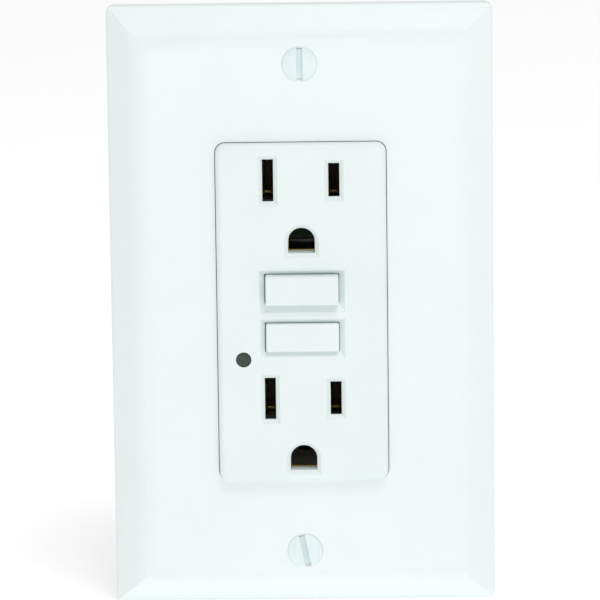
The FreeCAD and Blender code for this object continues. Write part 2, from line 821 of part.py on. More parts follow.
def ground_contact(outlet):
    """A folded spring clip for a ground pin, riveted behind the strap, with a lip that reaches to the face."""
    name = outlet + "_ground"
    z = f"{outlet}_outlet - ground_drop"
    inner = "pin_gap / 2"
    tall = about(z, "2.4")
    low = f"{z} - ground_clip_low"
    lip_top = f"{z} - ground_height / 2 + ground_lip_rise"
    base = block(name + "_base", both("5.8"), ("pin_fit", "0.62"), (low, f"{z} + ground_clip_high"))
    window = block(name + "_window", both(inner), ("-past", "2"), (f"{low} + ground_sheet", f"{z} + 2.6"))
    holes = [drill(name + "_rivet_hole", "rivet_radius + seam", x, z, "0", "2") for x in both("rivet_offset")]
    folds = [
        block(name + "_foot", both("ground_radius - seam"), ("-ground_lip_back - ground_sheet", "0.3"),
              (low, f"{low} + ground_sheet")),
        block(name + "_riser", both("ground_radius - seam"),
              ("-ground_lip_back - ground_sheet", "-ground_lip_back"), (low, lip_top)),
        block(name + "_front_lip", both("ground_radius - seam"), ("-ground_lip_front", "-ground_lip_back"),
              (f"{lip_top} - ground_sheet", lip_top)),
    ]
    for sign in (-1, 1):
        folds.append(block(name + "_leaf", side(sign, inner, f"{inner} + leaf"), ("0.3", "leaf_back + 1"), tall))
        lip = side(sign, inner, f"{inner} + 2 * leaf")
        folds.append(block(name + "_lip", lip, ("leaf_back + 0.5", "leaf_back + 1"), tall))
    node(name + "_contact", fuse(name + "_clip", cut(name + "_pierced", base, window, *holes), *folds))


def ground_rivets():
    """The rivets that hold the two ground clips to the strap."""
    rivets = []
    for z in ("upper_outlet - ground_drop", "lower_outlet - ground_drop"):
        for x in both("rivet_offset"):
            rivets.append(fuse(
                "rivet",
                stud("rivet_head", "1.2", x, z, "-strap - 0.45", "-strap - 0.01"),
                stud("rivet_shank", "rivet_radius", x, z, "-strap - 0.2", "0.8"),
                stud("rivet_foot", "1.1", x, z, "0.63", "1.03"),
            ))
    node("ground_rivets", group("rivet_set", *rivets))


# ---- current path -------------------------------------------------------------------------------

def spring_leaf(name, sign, way, rise):
    """One bent leaf of a blade clip: it leads in, pinches and opens again. way is +1 for the outer leaf."""
    body = doc.addObject("PartDesign::Body", name)
    sketch = sketch_on(body, "XY_Plane", name + "_sketch", rise[0])
    bends = (("entry_gap", "leaf_front"), ("pinch_gap", "leaf_pinch"), ("blade_gap", "leaf_back"))
    inside = [(f"slot_offset + {way} * {gap} / 2", depth) for gap, depth in bends]
    outside = [(f"{across} + {way} * leaf", depth) for across, depth in reversed(inside)]
    outline(sketch, [(mirrored(sign, across), depth) for across, depth in inside + outside])
    pad(body, sketch, name + "_pad", f"{rise[1]} - ({rise[0]})")
    return body


def contact_strip(name, sign):
    """One sheet-brass strip: a blade clip for each outlet, the fixed contact's arm and the load terminal."""
    near, far = about("slot_offset", "blade_gap / 2")
    deep = ("leaf_pinch", "leaf_back")
    pieces = [block(name + "_bus", side(sign, "bus_near", "bus_near + bus"), ("bus_front", "bus_back"),
                    ("lower_outlet - clip_low", "upper_outlet - clip_low + leaf"))]
    for outlet in ("upper_outlet", "lower_outlet"):
        foot = (f"{outlet} - clip_low", f"{outlet} - clip_low + leaf")
        rise = (f"{outlet} - clip_low + 0.2", f"{outlet} + clip_high")
        end = outlet.replace("_outlet", "")
        pieces += [spring_leaf(f"{name}_{end}_inner", sign, -1, rise), spring_leaf(f"{name}_{end}_outer", sign, 1, rise)]
        pieces.append(block(name + "_web", side(sign, f"{near} - leaf", f"{far} + leaf"), deep, foot))
        pieces.append(block(name + "_link", side(sign, far, "bus_near + bus"), ("bus_front + 1", "bus_back"), foot))
    pieces.append(block(name + "_tongue", side(sign, "contact_offset - 1.6", "bus_near + bus"),
                        ("bus_back - tongue", "bus_back"), about("contact_rise", "1.8")))
    low = about("-terminal_rise", "terminal_half")
    pieces.append(block(name + "_terminal", side(sign, "terminal_near", "terminal_near + terminal"),
                        ("terminal_front", "terminal_back"), low))
    pieces.append(block(name + "_shelf", side(sign, "bus_near", "terminal_near + terminal"),
                        ("terminal_front", "bus_back"), low))
    thread = cross_drill(name + "_thread", "terminal_screw + seam", sign, "terminal_near", "terminal_near + terminal",
                         "terminal_axis", "-terminal_rise")
    node(name, cut(name + "_tapped", fuse(name + "_sheet", *pieces), thread))


def fixed_contacts():
    """Two silver contacts on the strips' tongues, facing the moving arms."""
    pads = [stud("fixed_pad", "contact_radius", x, "contact_rise", "bus_back", "bus_back + contact_height")
            for x in both("contact_offset")]
    node("fixed_contacts", group("fixed_pair", *pads))


def line_terminal(name, sign):
    """The incoming terminal plate, its bus behind the board and the leg through the sensing coils."""
    x = side(sign, "terminal_near", "terminal_near + terminal")
    bus_front = "line_bus_back - bus"
    plate = block(name + "_plate", x, ("terminal_front", "terminal_back"), about("terminal_rise", "terminal_half"))
    leg = block(name + "_leg", x, ("terminal_back - 1", "line_bus_back"),
                ("terminal_rise + 1", "terminal_rise + terminal_half"))
    bar = block(name + "_bar", side(sign, "line_stem_near", "terminal_near + terminal"), (bus_front, "line_bus_back"),
                ("terminal_rise + 2.6", "ring_rise + line_stem_half"))
    stem = block(name + "_stem", side(sign, "line_stem_near", "line_stem_near + bus"),
                 ("board_front - 0.2", "line_bus_back"), about("ring_rise", "line_stem_half"))
    thread = cross_drill(name + "_thread", "terminal_screw + seam", sign, "terminal_near", "terminal_near + terminal",
                         "terminal_axis", "terminal_rise")
    node(name, cut(name + "_tapped", fuse(name + "_sheet", plate, leg, bar, stem), thread))


def terminal_screw(name, sign, z):
    """A large-head binding screw, driven tight at rest."""
    under = "clamp_near + clamp + seam"
    body = rod(name + "_head", "x", "terminal_head", side(sign, under, f"{under} + terminal_head_height")[0],
               "terminal_axis", z, "terminal_head_height")
    outer = size("clamp_near") + size("clamp") + size("seam") + size("terminal_head_height")
    soft = rounded(name + "_soft", body, 0.7, lies_on("x", sign * outer))
    low, high = side(sign, "terminal_tip", f"{under} + 0.5")
    shank = rod(name + "_shank", "x", "terminal_screw", low, "terminal_axis", z, f"{high} - ({low})")
    groove = side(sign, f"{under} + 1.3", f"{under} + 3")
    slots = [
        block(name + "_slot", groove, about("terminal_axis", "4"), about(z, "0.55")),
        block(name + "_cross", groove, about("terminal_axis", "0.55"), about(z, "2.2")),
    ]
    node(name, cut(name + "_driven", fuse(name + "_whole", soft, shank), *slots))


def terminal_clamp(name, sign, z):
    """The pressure plate that a terminal screw pulls against the wire."""
    x = side(sign, "clamp_near", "clamp_near + clamp")
    plate = block(name + "_plate", x, about("terminal_axis", "clamp_half"), about(z, "clamp_half"))
    hole = cross_drill(name + "_hole", "terminal_screw + 0.08", sign, "clamp_near", "clamp_near + clamp",
                       "terminal_axis", z)
    node(name, cut(name + "_bored", plate, hole))


def line_arm(name, sign):
    """A spring arm that carries one moving contact and bends from its upper end."""
    x = side(sign, "contact_offset - arm_half", "contact_offset + arm_half")
    node(name, block(name + "_strip", x, ("arm_front", "arm_front + arm"), ("contact_rise - 1.6", "arm_root + 0.4")))


def arm_posts():
    """The two brass posts on the board that hold the arms' upper ends."""
    posts = [block("arm_post", side(sign, "contact_offset - post_half", "contact_offset + post_half"),
                   ("arm_front + arm + seam", "board_front + board"), about("arm_root", "0.4"))
             for sign in (-1, 1)]
    node("arm_posts", group("arm_post_pair", *posts))


def moving_contact(name, sign):
    """The silver contact on the front of one line arm."""
    node(name, stud(name + "_pad", "contact_radius", mirrored(sign, "contact_offset"), "contact_rise",
                    "arm_front - contact_height", "arm_front"))


# ---- trip mechanism -----------------------------------------------------------------------------

def coil_spring(name, axis, radius, wire, turns, start, length):
    """A compression spring: a round wire swept along a helix that runs up its axis from a point."""
    climb = length - wire
    helix = Part.makeHelix(climb / turns, climb, radius)
    section = Part.Wire(Part.makeCircle(wire / 2, Vector(radius, 0, 0), Vector(0, 1, 0)))
    spring = doc.addObject("Part::Feature", name)
    spring.Shape = Part.Wire(helix).makePipeShell([section], True, True)
    lift = AXES[axis].multVec(Vector(0, 0, wire / 2))
    spring.Placement = Placement(start + lift, AXES[axis])
    return spring


def springs():
    """The plunger's return spring and the reset button's spring."""
    on_yoke = Vector(0, size("coil_axis"), -7.85)
    node("plunger_spring", coil_spring("plunger_coils", "z", 2.05, 0.35, 6, on_yoke, 6.3))
    behind_button = Vector(0, -2.55, size("reset_height"))
    node("reset_spring", coil_spring("reset_coils", "y", 1.75, 0.4, 6, behind_button, 7.1))


def reset_pin():
    """The steel pin in the reset button: a plain shank, a neck for the latch and a pointed head."""
    fit = "pin_radius - pin_fit"
    neck_back = "neck_front + neck_length"
    shank = stud("pin_shank", fit, "0", "reset_height", "-5.9", "neck_front")
    waist = stud("pin_waist", "pin_radius - 0.5", "0", "reset_height", "neck_front - 0.5", f"{neck_back} + 0.9")
    head = stud("pin_head", fit, "0", "reset_height", neck_back, f"{neck_back} + 0.4")
    point = cone("pin_point", "y", fit, 0.5, "0", f"{neck_back} + 0.4", "reset_height", "0.6")
    node("reset_pin", fuse("pin_turned", shank, waist, head, point))


def contact_carrier():
    """The plastic block round the reset pin that pushes both line arms forward."""
    z = "reset_height"
    reach = "contact_offset + 1.4"
    body = block("carrier_body", both("3.9"), ("9", "latch_front + 2.2"), about(z, "4.6"))
    wing = block("carrier_wing", both(reach), ("arm_front + 1.35", "13.2"), about("push_rise", "1.4"))
    ridge = rod("carrier_ridge", "x", 0.8, f"-({reach})", "arm_front + arm + 0.85", "push_rise", f"2 * ({reach})")
    bore = stud("carrier_bore", "pin_radius + 0.1", "0", z, "5", "25")
    gap_front = "latch_front - 0.08"
    slot = block("carrier_slot", both("2.6"), (gap_front, "latch_front + latch + 0.08"), (f"{z} - 6", f"{z} + 6.2"))
    mouth = block("carrier_mouth", both("2.6"), (gap_front, "latch_front + 3"), (f"{z} - 6", f"{z} - 3.2"))
    node("contact_carrier", cut("carrier_cut", fuse("carrier_blank", body, wing, ridge), bore, slot, mouth))


def latch_plate():
    """The steel latch: a keyhole round the reset pin and a bent tab with a fork for the plunger."""
    body = doc.addObject("PartDesign::Body", "latch_blank")
    sketch = sketch_on(body, "XZ_Plane", "latch_sketch", "-latch_front")
    tab_low = "reset_height - latch_tab_drop"
    rectangle(sketch, both("latch_half"), (tab_low, "reset_height + 5"))
    disc(sketch, "0", "reset_height", "pin_radius + 0.1")
    pad(body, sketch, "latch_pad", "latch", reverse=True)
    narrow = drill("latch_narrow", "pin_radius - 0.4", "0", "reset_height - latch_throw", "latch_front",
                   "latch_front + latch")
    neck = block("latch_neck", both("pin_radius - 0.4"), ("latch_front - past", "latch_front + latch + past"),
                 ("reset_height - latch_throw", "reset_height"))
    tab = block("latch_tab", both("latch_half"), ("latch_front", "coil_axis + 1.4"), (tab_low, f"{tab_low} + latch"))
    fork = block("latch_fork", both("0.9"), ("coil_axis - 1.8", "coil_axis + 2"),
                 (f"{tab_low} - past", f"{tab_low} + latch + past"))
    node("latch_plate", cut("latch_cut", fuse("latch_bent", body, tab), narrow, neck, fork))


def plunger():
    """The solenoid's steel plunger: a stem in the coil, a collar for its spring and a headed neck."""
    tab_low = "reset_height - latch_tab_drop"
    stem = rod("plunger_stem", "z", "plunger_radius", "0", "coil_axis", "-20", f"{tab_low} - 0.1 + 20")
    collar = rod("plunger_collar", "z", 2.4, "0", "coil_axis", f"{tab_low} - 0.9", "0.8")
    neck = rod("plunger_neck", "z", 0.7, "0", "coil_axis", f"{tab_low} - 0.5", "2")
    head = rod("plunger_head", "z", 1.7, "0", "coil_axis", f"{tab_low} + latch + 0.1", "1.0")
    node("plunger", fuse("plunger_turned", stem, collar, neck, head))


def solenoid():
    """Bobbin, winding and steel frame of the trip coil, upright behind the board."""
    y = "coil_axis"
    tube = rod("bobbin_tube", "z", "bobbin_tube", "0", y, "bobbin_low", "bobbin_high - bobbin_low")
    ends = [rod("bobbin_end", "z", "bobbin_radius", "0", y, z, "1") for z in ("bobbin_low", "bobbin_high - 1")]
    bore = rod("bobbin_bore", "z", "plunger_radius + 0.06", "0", y, "bobbin_low - past",
               "bobbin_high - bobbin_low + 2 * past")
    node("solenoid_bobbin", cut("bobbin_bored", fuse("bobbin_blank", tube, *ends), bore))

    wire = rod("coil_wire", "z", "bobbin_radius - 0.4", "0", y, "bobbin_low + 1 + pin_fit",
               "bobbin_high - bobbin_low - 2 - 2 * pin_fit")
    inside = rod("coil_inside", "z", "bobbin_tube + 0.03", "0", y, "bobbin_low", "bobbin_high - bobbin_low")
    node("solenoid_winding", cut("coil_wound", wire, inside))

    low = ("bobbin_low - pin_fit - yoke", "bobbin_low - pin_fit")
    high = ("bobbin_high + pin_fit", "bobbin_high + pin_fit + yoke")
    plates = [block("yoke_plate", both("yoke_half"), ("17.5", "yoke_back"), z) for z in (low, high)]
    back = block("yoke_back", both("yoke_half"), ("yoke_back - 0.65", "yoke_back"), (low[0], high[1]))
    pass_hole = rod("yoke_hole", "z", "plunger_radius + 0.1", "0", y, "bobbin_high - past", "yoke + 2 * past")
    node("solenoid_frame", cut("yoke_bored", fuse("yoke_blank", *plates, back), pass_hole))


def test_blade():
    """The spring leaf behind the test button, held at its left end in a slot of the inner frame."""
    node("test_blade", block("blade_strip", ("-8.6", "test_post_left + 1"), ("blade_front", "blade_front + blade"),
                             about("test_height", "blade_half")))


def test_post():
    """The brass post that the test blade touches."""
    shank = stud("post_shank", "0.5", "test_post_left", "test_height", "test_post_front", "board_front + board + 0.6")
    node("test_post", rounded("post_soft", shank, 0.2, lies_on("y", size("test_post_front"))))


# ---- circuit board and its parts ----------------------------------------------------------------

def circuit_board():
    """The board: a window for the contact carrier and holes for screws, posts and the line stems."""
    body = doc.addObject("PartDesign::Body", "board_body")
    sketch = sketch_on(body, "XZ_Plane", "board_sketch", "-board_front")
    rectangle(sketch, both("board_width / 2"), both("board_height / 2"))
    for x, z in case_screw_places():
        disc(sketch, x, z, "case_screw + 0.3")
    rectangle(sketch, both("4.3"), ("-2.8", "reset_height + 6"))
    pad(body, sketch, "board_pad", "board", reverse=True)
    span = ("board_front - past", "board_front + board + past")
    holes = [drill("post_hole", "0.55", "test_post_left", "test_height", "board_front", "board_front + board")]
    for sign in (-1, 1):
        arm = side(sign, "contact_offset - arm_half - 0.1", "contact_offset + arm_half + 0.1")
        stem = side(sign, "line_stem_near - seam", "line_stem_near + bus + seam")
        holes.append(block("arm_hole", arm, span, about("arm_root", "0.5")))
        holes.append(block("stem_hole", stem, span, about("ring_rise", "line_stem_half + 0.1")))
    node("circuit_board", cut("board_drilled", body, *holes))


def ring(name, inner, outer, front, depth):
    """A ring round the sensing axis."""
    z = "ring_rise"
    return cut(name, rod(name + "_outer", "y", outer, "0", front, z, depth),
               rod(name + "_inner", "y", inner, "0", f"{front} - past", z, f"{depth} + 2 * past"))


def sensing_coils():
    """Two stacked ring cores, each with a winding over most of its turn, in a plastic cup."""
    for name in ("sensor", "neutral"):
        front = f"{name}_front"
        node(name + "_core", ring(name + "_ring", "ring_inner + ring_wrap", "ring_outer - ring_wrap", front,
                                  "ring_depth"))
        outer = ring(name + "_wrap", "ring_inner", "ring_outer", f"{front} - ring_wrap", "ring_depth + 2 * ring_wrap")
        # The wire lies a hair off the core all round.
        inner = ring(name + "_void", "ring_inner + ring_wrap - 0.03", "ring_outer - ring_wrap + 0.03",
                     f"{front} - 0.03", "ring_depth + 0.06")
        gap = block(name + "_gap", both("2"), ("10", "28"), ("ring_rise - 9", "ring_rise - 2"))
        node(name + "_winding", cut(name + "_turns", outer, inner, gap))
    core_inner = "ring_inner - 0.4 - cup_wall"
    cup_outer = "ring_outer + 0.2 + cup_wall"
    floor = ring("cup_floor", core_inner, cup_outer, "cup_front", "1.2")
    wall = ring("cup_wall", "ring_outer + 0.2", cup_outer, "cup_front", "cup_depth")
    core = ring("cup_core", core_inner, "ring_inner - 0.4", "cup_front", "cup_depth")
    node("coil_housing", fuse("cup", floor, wall, core))


# The pitch of the small parts' pins.
PIN_PITCH = 1.27


def control_chip():
    """The control chip, with four pins on each side."""
    back = "board_front + board"
    body = block("chip_body", ("7.4", "11.4"), (f"{back} + 0.25", f"{back} + 1.75"), ("-5", "0"))
    pins = []
    for x in (("6.4", "7.6"), ("11.2", "12.4")):
        for n in range(4):
            middle = f"{-4.4 + PIN_PITCH * n:.2f}"
            pins.append(block("chip_pin", x, (f"{back} + solder_gap", f"{back} + 0.9"), about(middle, "0.2")))
    node("control_chip", fuse("chip", body, *pins))


def thyristor():
    """The transistor-cased switch that fires the trip coil: a round body with a flat, on three legs."""
    back = "board_front + board"
    case = stud("thyristor_round", "2.4", "-9.5", "3", f"{back} + 1.5", f"{back} + 6.1")
    flat = block("thyristor_flat", ("-13", "-6"), (back, "25"), ("-2", "1.6"))
    legs = [block("thyristor_leg", about(f"{-10.77 + PIN_PITCH * n:.2f}", "0.25"),
                  (f"{back} + solder_gap", f"{back} + 2"), about("3", "0.25")) for n in range(3)]
    node("thyristor", fuse("thyristor_all", cut("thyristor_body", case, flat), *legs))


def varistor():
    """The surge varistor: a thick coated disc on edge, on two legs."""
    back = "board_front + board"
    body = rod("varistor_disc", "z", 4.6, "-10.1", "22", "-19", "4")
    legs = [rod("varistor_leg", "y", 0.35, x, f"{back} + solder_gap", "-17", "4") for x in ("-12.6", "-8.2")]
    node("varistor", fuse("varistor_all", rounded("varistor_soft", body, 1.2, every_edge), *legs))


def film_capacitor():
    """The boxed film capacitor, on two legs."""
    back = "board_front + board"
    can = block("film_body", ("7.2", "13.8"), (f"{back} + 0.6", f"{back} + 9.6"), ("-21", "-10"))
    legs = [rod("film_leg", "y", 0.35, "10.5", f"{back} + solder_gap", z, "2") for z in ("-19", "-12")]
    node("film_capacitor", fuse("film_all", rounded("film_soft", can, 0.8, every_edge), *legs))


def small_parts():
    """Chip capacitors and resistors, and the rectifier diodes."""
    back = "board_front + board"
    capacitor, resistor = 1.1, 0.6
    chips = [
        ("7", "3", capacitor), ("7", "6", capacitor), ("-9", "-4", capacitor), ("10.6", "3", capacitor),
        ("10.6", "6", resistor), ("-9", "-7", resistor), ("-12.6", "-4", resistor), ("-12.6", "-7", resistor),
        ("7", "9", resistor), ("10.6", "9", resistor),
    ]
    node("chip_parts", group("chip_set", *(
        block("chip_part", (x, f"{x} + 2"), (f"{back} + solder_gap", f"{back} + {tall}"), (z, f"{z} + 1.2"))
        for x, z, tall in chips
    )))
    node("diodes", group("diode_row", *(
        fuse(
            "diode",
            block("diode_body", (x, f"{x} + 4"), (f"{back} + 0.1", f"{back} + 2.1"), (z, f"{z} + 2.4")),
            block("diode_tabs", (f"{x} - 0.5", f"{x} + 4.5"), (f"{back} + solder_gap", f"{back} + 0.3"),
                  (f"{z} + 0.5", f"{z} + 1.9")),
        )
        for x, z in (("-13.2", "-27"), ("-13.2", "8.6"), ("8.4", "-25.6"))
    )))


def indicator_led():
    """The indicator's light, on the front of the board behind the light pipe."""
    base = rod("led_base", "y", 1.7, "-lens_left", "board_front - 0.8", "-lens_drop", "0.78")
    dome = rod("led_body", "y", 1.3, "-lens_left", "board_front - 1.8", "-lens_drop", "1.4")
    soft = rounded("led_dome", dome, 0.6, lies_on("y", size("board_front") - 1.8))
    node("indicator_led", fuse("led_all", base, soft))


# ---- housing ------------------------------------------------------------------------------------

def frame_tools(sign):
    """The hollows on one side of the inner frame: for a contact strip, two terminals and two screws."""
    room = 0.3
    bus_far = f"bus_near + bus + {room}"
    open_front = "-past"
    clip = side(sign, *about("slot_offset", f"entry_gap / 2 + leaf + {room}"))
    tools = []
    for outlet in ("upper_outlet", "lower_outlet"):
        tools.append(block("clip_pocket", clip, (open_front, "pocket_floor"), (f"{outlet} - 5", f"{outlet} + 4.5")))
        tools.append(block("link_channel", side(sign, "slot_offset", bus_far), (open_front, f"bus_back + {room}"),
                           (f"{outlet} - 5", f"{outlet} - 3.9")))
    tools.append(block("bus_channel", side(sign, f"bus_near - {room}", bus_far), (open_front, f"bus_back + {room}"),
                       ("lower_outlet - 5", "upper_outlet - 3.9")))
    tools.append(block("tongue_channel", side(sign, "5", bus_far), (open_front, "frame_back - 4.5"),
                       about("contact_rise", "2.1")))
    for z in ("terminal_rise", "-terminal_rise"):
        tools.append(block("terminal_bay", side(sign, "terminal_near - 0.5", "case_width"), (open_front, "20"),
                           about(z, "terminal_half + 0.8")))
        low, high = side(sign, "12.4", "17")
        tools.append(rod("screw_relief", "x", f"terminal_screw + {room}", low, "terminal_axis", z,
                         f"{high} - ({low})"))
    tools.append(block("shelf_channel", side(sign, "bus_near", "terminal_near"), (open_front, "bus_back + 0.5"),
                       about("-terminal_rise", "terminal_half + 0.8")))
    for z in both("case_screw_rise"):
        tools.append(drill("frame_screw_hole", "case_screw + 0.25", mirrored(sign, "case_screw_offset"), z, "0",
                           "frame_back"))
    return tools


def inner_frame():
    """The middle moulding: it holds the contact strips and carries the reset spring's ledge."""
    bulk = block("frame_bulk", both("case_width / 2 - case_wall - seam"), ("seam", "frame_back"),
                 both("case_height / 2 - case_wall - seam"))
    well = block("frame_well", both("well_half"), ("-past", "20"), ("well_low", "well_high"))
    low = "lower_outlet - ground_drop"
    pin_pocket = block("pin_pocket", both("6.1"), ("-past", "leaf_back + 1.3"), (f"{low} - 4.3", f"{low} + 3.7"))
    pin_tip = drill("pin_tip_hole", "2.8", "0", low, "0", "frame_back")
    pipe = drill("pipe_hole", "pipe_radius + 0.2", "-lens_left", "-lens_drop", "0", "frame_back")
    led_pocket = stud("led_pocket", "2", "-lens_left", "-lens_drop", "frame_back - 0.6", "frame_back + past")
    body = cut("frame_cut", bulk, well, *frame_tools(-1), *frame_tools(1), pin_pocket, pin_tip, pipe, led_pocket)

    ledge = block("spring_ledge", both("well_half + seam"), ("4.6", "6.0"), about("reset_height", "2.2"))
    anchor = cut(
        "blade_anchor",
        block("anchor_block", side(-1, "7.9", "well_half + seam"), ("1.2", "3.6"), about("test_height", "1.8")),
        block("anchor_slot", side(-1, "7", "8.8"), ("1.95", "2.6"), about("test_height", "blade_half + seam")),
    )
    bore = stud("ledge_bore", "pin_radius + 0.06", "0", "reset_height", "0", "8")
    node("inner_frame", cut("frame_done", fuse("frame_joined", body, ledge, anchor), bore))


def back_housing():
    """The rear tub: four screw posts, side windows for the terminals and wire holes in its floor."""
    body = rounded_slab("tub_body", "case_width / 2", "case_height / 2", "-seam", "case_back - seam", "1.6",
                        reverse=True)[0]
    hollow = block("tub_hollow", both("case_width / 2 - case_wall"), ("-past", "case_back - case_floor"),
                   both("case_height / 2 - case_wall"))
    posts, holes = [], []
    for x, z in case_screw_places():
        posts.append(stud("tub_post", "2.6", x, z, "board_front + board + seam", "case_back - 0.5"))
        holes.append(stud("tub_pilot", "case_screw + 0.15", x, z, "10", "case_back + past"))
        holes.append(stud("tub_counterbore", "case_screw_head + 0.2", x, z, "case_back - 1.8", "case_back + past"))
    for sign in (-1, 1):
        for z in ("terminal_rise", "-terminal_rise"):
            holes.append(block("tub_window", side(sign, "case_width / 2 - case_wall - 0.5", "case_width / 2 + past"),
                               ("5.6", "16.4"), about(z, "4.9")))
            for wire in about(z, "wire_step"):
                holes.append(drill("wire_hole", "wire_radius", mirrored(sign, "wire_near"), wire,
                                   "case_back - case_floor", "case_back"))
    hollowed = cut("tub_hollowed", body, hollow)
    node("back_housing", cut("tub_done", fuse("tub_posts", hollowed, *posts), *holes))


def housing_screws():
    """Four long cross-slotted screws that clamp the whole device together."""
    screws = []
    for x, z in case_screw_places():
        head = stud("case_screw_head", "case_screw_head", x, z, "case_back - 1.75", "case_back - 0.25")
        shank = stud("case_screw_shank", "case_screw", x, z, "-case_screw_front", "case_back - 1")
        depth = ("case_back - 1", "case_back")
        arms = [
            block("case_screw_slot", about(x, "1.3"), depth, about(z, "0.35")),
            block("case_screw_cross", about(x, "0.35"), depth, about(z, "1.3")),
        ]
        screws.append(cut("case_screw_cut", fuse("case_screw_whole", head, shank), *arms))
    node("housing_screws", group("case_screw_set", *screws))


def build():
    """Make every sub-part, from the front of the device to the back."""
    wall_plate()
    plate_screws()
    face_cover()
    reset_button()
    test_button()
    indicator_lens()
    mounting_strap()
    box_screws()
    screw_retainers()
    grounding_clip()
    ground_screw()
    ground_clamp()
    ground_contact("upper")
    ground_contact("lower")
    ground_rivets()
    for pole, sign in (("neutral", -1), ("hot", 1)):
        contact_strip(f"{pole}_contact_strip", sign)
        line_terminal(f"line_{pole}_terminal", sign)
        line_arm(f"line_{pole}_arm", sign)
        moving_contact(f"{pole}_moving_contact", sign)
        for feed, z in (("line", "terminal_rise"), ("load", "-terminal_rise")):
            terminal_screw(f"{feed}_{pole}_screw", sign, z)
            terminal_clamp(f"{feed}_{pole}_clamp", sign, z)
    fixed_contacts()
    arm_posts()
    reset_pin()
    contact_carrier()
    latch_plate()
    plunger()
    solenoid()
    springs()
    test_blade()
    test_post()
    circuit_board()
    sensing_coils()
    control_chip()
    thyristor()
    varistor()
    film_capacitor()
    small_parts()
    indicator_led()
    inner_frame()
    back_housing()
    housing_screws()


def check_and_write():
    """Stop on any failed object or bad shape, then write one file for each sub-part."""
    doc.recompute()
    for item in doc.Objects:
        if "Invalid" in item.State or "Error" in item.State:
            raise RuntimeError(f"{item.Name} failed: {item.State}")
    for name, item in NODES.items():
        if item.Shape.isNull() or not item.Shape.isValid() or not item.Shape.Solids:
            raise RuntimeError(f"{name} has no valid solid")
    for name, item in NODES.items():
        item.Shape.exportStep(f"parts/{name}.step")


build()
check_and_write()
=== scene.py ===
"""The looks of a one-gang ground-fault wall outlet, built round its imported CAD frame.

Metres, unless a comment says otherwise. +Z is up and the face looks toward -Y. The CAD nodes carry the
shapes; this script gives them their finishes and soft edges, and winds real wire in place of the plain
windings and springs.
"""

import json
import math

import bpy
from mathutils import Matrix, Vector


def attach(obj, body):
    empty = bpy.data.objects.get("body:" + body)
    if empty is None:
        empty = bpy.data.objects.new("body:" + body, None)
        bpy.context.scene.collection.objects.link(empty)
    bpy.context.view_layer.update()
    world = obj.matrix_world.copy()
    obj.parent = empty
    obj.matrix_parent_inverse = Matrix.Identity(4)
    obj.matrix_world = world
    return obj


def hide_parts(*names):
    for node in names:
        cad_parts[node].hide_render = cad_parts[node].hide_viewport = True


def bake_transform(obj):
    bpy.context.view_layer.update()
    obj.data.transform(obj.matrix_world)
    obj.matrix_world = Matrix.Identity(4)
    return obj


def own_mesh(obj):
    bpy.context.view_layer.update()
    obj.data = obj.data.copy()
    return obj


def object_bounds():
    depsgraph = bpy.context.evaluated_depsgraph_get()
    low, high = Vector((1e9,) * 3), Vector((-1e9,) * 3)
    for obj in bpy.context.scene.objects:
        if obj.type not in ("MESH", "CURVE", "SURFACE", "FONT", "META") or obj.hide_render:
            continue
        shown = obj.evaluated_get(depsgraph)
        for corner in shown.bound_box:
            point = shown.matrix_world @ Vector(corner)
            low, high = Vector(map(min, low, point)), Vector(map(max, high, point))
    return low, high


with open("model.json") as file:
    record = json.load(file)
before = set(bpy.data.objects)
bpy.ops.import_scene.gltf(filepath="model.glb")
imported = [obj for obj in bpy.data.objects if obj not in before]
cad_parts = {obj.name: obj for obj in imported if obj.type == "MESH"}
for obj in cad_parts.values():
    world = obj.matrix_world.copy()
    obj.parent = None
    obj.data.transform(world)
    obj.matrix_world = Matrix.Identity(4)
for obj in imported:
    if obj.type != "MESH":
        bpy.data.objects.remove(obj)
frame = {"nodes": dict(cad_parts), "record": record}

CAD_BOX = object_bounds()
NODES = frame["nodes"]
MM = 0.001


# ---- materials ----------------------------------------------------------------------------------

# Sizes of the noise patterns, in cycles per metre.
FLOW_MARKS = 90
MOULD_TEXTURE = 5200
METAL_PATCHES = 160
ALONG_GRAIN, ACROSS_GRAIN = 40, 2600

FINE_RELIEF = 0.02 * MM
DRAWN_RELIEF = 0.03 * MM
ACRYLIC_IOR = 1.49
CLEARNESS = 0.35


